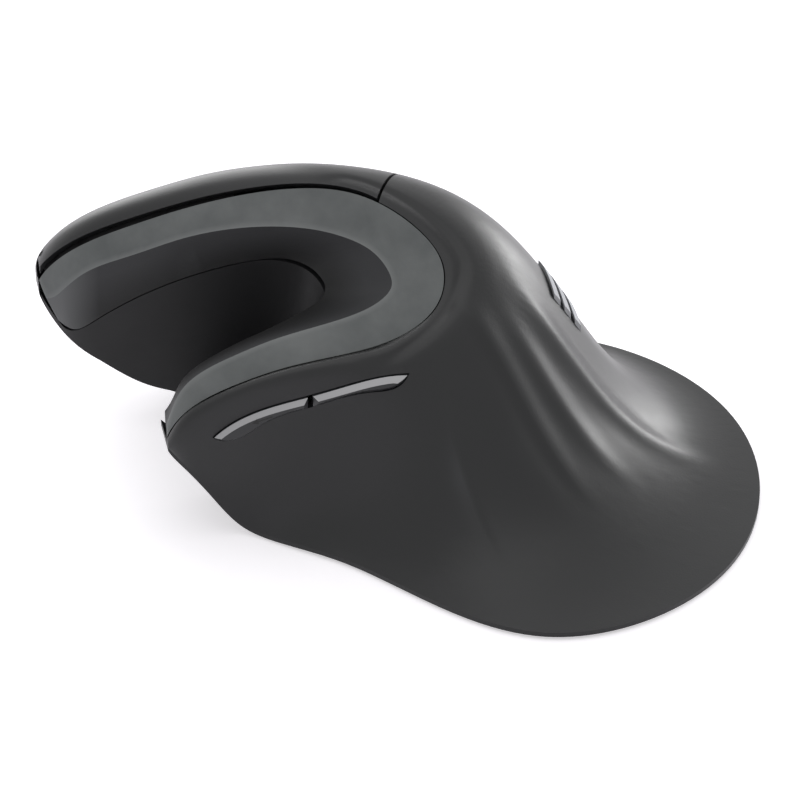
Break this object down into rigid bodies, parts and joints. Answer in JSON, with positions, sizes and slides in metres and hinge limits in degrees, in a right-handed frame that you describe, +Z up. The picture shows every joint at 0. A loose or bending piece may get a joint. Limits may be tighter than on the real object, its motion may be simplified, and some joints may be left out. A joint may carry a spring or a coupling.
{
  "type": "ergonomic mouse",
  "caption": "Upright right-hand wireless computer mouse with a deep thumb-side valley, two click covers, a scroll wheel, side buttons and a wide flared palm skirt",
  "frame": {"origin": "On the desk, under the middle of the mouse's length and width.", "axes": "+Y towards the front tips of the two arms, +X towards the finger side with the wheel and click covers, +Z up from the desk."},
  "size_m": [0.0938, 0.126, 0.0582],
  "materials": {
    "shell_plastic": "satin",
    "button_plastic": "satin",
    "grip_rubber": "matte",
    "liner_plastic": "matte",
    "strip_rubber": "matte",
    "tyre_rubber": "matte",
    "wheel_plastic": "satin",
    "frame_plastic": "matte",
    "switch_plastic": "satin",
    "plunger_plastic": "satin",
    "board_laminate": "satin",
    "chip_plastic": "satin",
    "socket_plastic": "satin",
    "ribbon_film": "satin",
    "lens_clear": "clear",
    "steel": "satin",
    "cell_label": "gloss",
    "glide_plastic": "satin"
  },
  "bodies": {
    "chassis": {"back_switch": "switch_plastic", "base_plate": "frame_plastic", "base_screws": "steel", "battery": "cell_label", "battery_contact": "steel", "battery_spring": "steel", "board_screws": "steel", "bracket_screws": "steel", "button_board": "board_laminate", "button_bracket": "frame_plastic", "dpi_switch": "switch_plastic", "forward_switch": "switch_plastic", "front_grip": "grip_rubber", "glide_feet": "glide_plastic", "grip_strip": "strip_rubber", "indicator_led": "socket_plastic", "indicator_lens": "lens_clear", "left_switch": "switch_plastic", "main_board": "board_laminate", "main_ribbon": "ribbon_film", "main_shell": "shell_plastic", "middle_switch": "switch_plastic", "power_switch": "switch_plastic", "radio_chip": "chip_plastic", "ribbon_sockets": "socket_plastic", "right_switch": "switch_plastic", "sensor": "chip_plastic", "sensor_lens": "lens_clear", "side_board": "board_laminate", "side_bracket": "frame_plastic", "side_ribbon": "ribbon_film", "valley_liner": "liner_plastic"},
    "left_cover": {"left_click_cover": "shell_plastic"},
    "right_cover": {"right_click_cover": "shell_plastic"},
    "left_plunger": {"left_plunger": "plunger_plastic"},
    "right_plunger": {"right_plunger": "plunger_plastic"},
    "middle_plunger": {"middle_plunger": "plunger_plastic"},
    "dpi_plunger": {"dpi_plunger": "plunger_plastic"},
    "forward_plunger": {"forward_plunger": "plunger_plastic"},
    "back_plunger": {"back_plunger": "plunger_plastic"},
    "wheel_cradle": {"wheel_carrier": "frame_plastic", "wheel_encoder": "switch_plastic"},
    "wheel": {"scroll_wheel": "wheel_plastic", "wheel_tyre": "tyre_rubber", "wheel_axle": "steel"},
    "forward_button": {"forward_button": "button_plastic"},
    "back_button": {"back_button": "button_plastic"},
    "dpi_button": {"dpi_button": "button_plastic"},
    "power_slider": {"power_slider": "frame_plastic"},
    "battery_door": {"battery_door": "frame_plastic"},
    "receiver": {"receiver_cap": "frame_plastic", "receiver_plug": "steel"}
  },
  "joints": [
    {"name": "left_click", "type": "hinge", "parent": "chassis", "child": "left_cover", "pos_m": [0.02465, 0.00202, 0.054], "axis": [-0.8924, 0, 0.4512], "range_deg": [0, 0.6], "stiffness_Nm_per_rad": 0.6, "springref_deg": -1.15},
    {"name": "right_click", "type": "hinge", "parent": "chassis", "child": "right_cover", "pos_m": [0.04265, 0.00002, 0.03], "axis": [-0.3102, 0, 0.9507], "range_deg": [0, 0.8], "stiffness_Nm_per_rad": 0.6, "springref_deg": -1.15},
    {"name": "left_plunger_press", "type": "slide", "parent": "chassis", "child": "left_plunger", "axis": [-0.841, 0, -0.5411], "range_m": [0, 0.000219]},
    {"name": "right_plunger_press", "type": "slide", "parent": "chassis", "child": "right_plunger", "axis": [-0.841, 0, -0.5411], "range_m": [0, 0.000425]},
    {"name": "wheel_press", "type": "slide", "parent": "chassis", "child": "wheel_cradle", "axis": [-0.841, 0, -0.5411], "range_m": [0, 0.0004], "stiffness_N_per_m": 800, "springref_m": -0.0006},
    {"name": "wheel_spin", "type": "hinge", "parent": "wheel_cradle", "child": "wheel", "pos_m": [0.03086, 0.03402, 0.04412], "axis": [-0.5411, 0, 0.841], "continuous": true},
    {"name": "middle_plunger_press", "type": "slide", "parent": "chassis", "child": "middle_plunger", "axis": [-0.841, 0, -0.5411], "range_m": [0, 0.0004]},
    {"name": "forward_press", "type": "slide", "parent": "chassis", "child": "forward_button", "axis": [1, 0, 0], "range_m": [0, 0.00045], "stiffness_N_per_m": 800, "springref_m": -0.0006},
    {"name": "forward_plunger_press", "type": "slide", "parent": "chassis", "child": "forward_plunger", "axis": [1, 0, 0], "range_m": [0, 0.00045]},
    {"name": "back_press", "type": "slide", "parent": "chassis", "child": "back_button", "axis": [1, 0, 0], "range_m": [0, 0.00045], "stiffness_N_per_m": 800, "springref_m": -0.0006},
    {"name": "back_plunger_press", "type": "slide", "parent": "chassis", "child": "back_plunger", "axis": [1, 0, 0], "range_m": [0, 0.00045]},
    {"name": "dpi_press", "type": "slide", "parent": "chassis", "child": "dpi_button", "axis": [-0.841, 0, -0.5411], "range_m": [0, 0.0004], "stiffness_N_per_m": 800, "springref_m": -0.0006},
    {"name": "dpi_plunger_press", "type": "slide", "parent": "chassis", "child": "dpi_plunger", "axis": [-0.841, 0, -0.5411], "range_m": [0, 0.0004]},
    {"name": "power_slide", "type": "slide", "parent": "chassis", "child": "power_slider", "axis": [1, 0, 0], "range_m": [0, 0.0025]},
    {"name": "battery_door_release", "type": "slide", "parent": "chassis", "child": "battery_door", "axis": [0, 0, -1], "range_m": [0, 0.01]},
    {"name": "receiver_pull", "type": "slide", "parent": "chassis", "child": "receiver", "axis": [0, 0, -1], "range_m": [0, 0.012]}
  ],
  "couplings": [
    {"joint": "left_plunger_press", "follows": "left_click", "m_per_rad": 0.018971},
    {"joint": "right_plunger_press", "follows": "right_click", "m_per_rad": 0.02902},
    {"joint": "middle_plunger_press", "follows": "wheel_press", "ratio": 1},
    {"joint": "forward_plunger_press", "follows": "forward_press", "ratio": 1},
    {"joint": "back_plunger_press", "follows": "back_press", "ratio": 1},
    {"joint": "dpi_plunger_press", "follows": "dpi_press", "ratio": 1}
  ]
}
